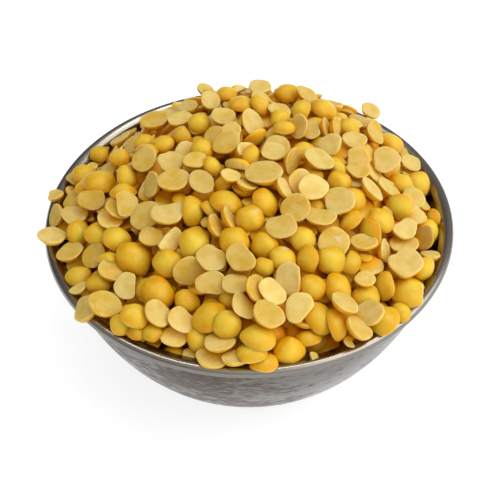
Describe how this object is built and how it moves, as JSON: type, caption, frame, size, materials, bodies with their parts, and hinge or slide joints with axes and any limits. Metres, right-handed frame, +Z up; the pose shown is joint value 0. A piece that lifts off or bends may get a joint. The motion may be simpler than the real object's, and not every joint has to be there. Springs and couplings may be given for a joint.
{
  "type": "bowl of split peas",
  "caption": "Small round steel bowl with a rolled rim, heaped with dry yellow split peas (toor dal) that rise in a dome above the rim.",
  "frame": {"origin": "centre of the bowl's flat foot, on the surface it stands on", "axes": "+Z up along the bowl's axis, -Y towards the viewer, +X to the viewer's right"},
  "size_m": [0.0916, 0.09, 0.0529],
  "materials": {
    "steel": "spun stainless steel, worn and smeared, satin to dull shine",
    "peas": "dry split peas, golden domed sides with a satin skin, pale straw flat faces, matt"
  },
  "bodies": {
    "root": {"bowl": "steel", "heap": "peas"}
  },
  "joints": []
}
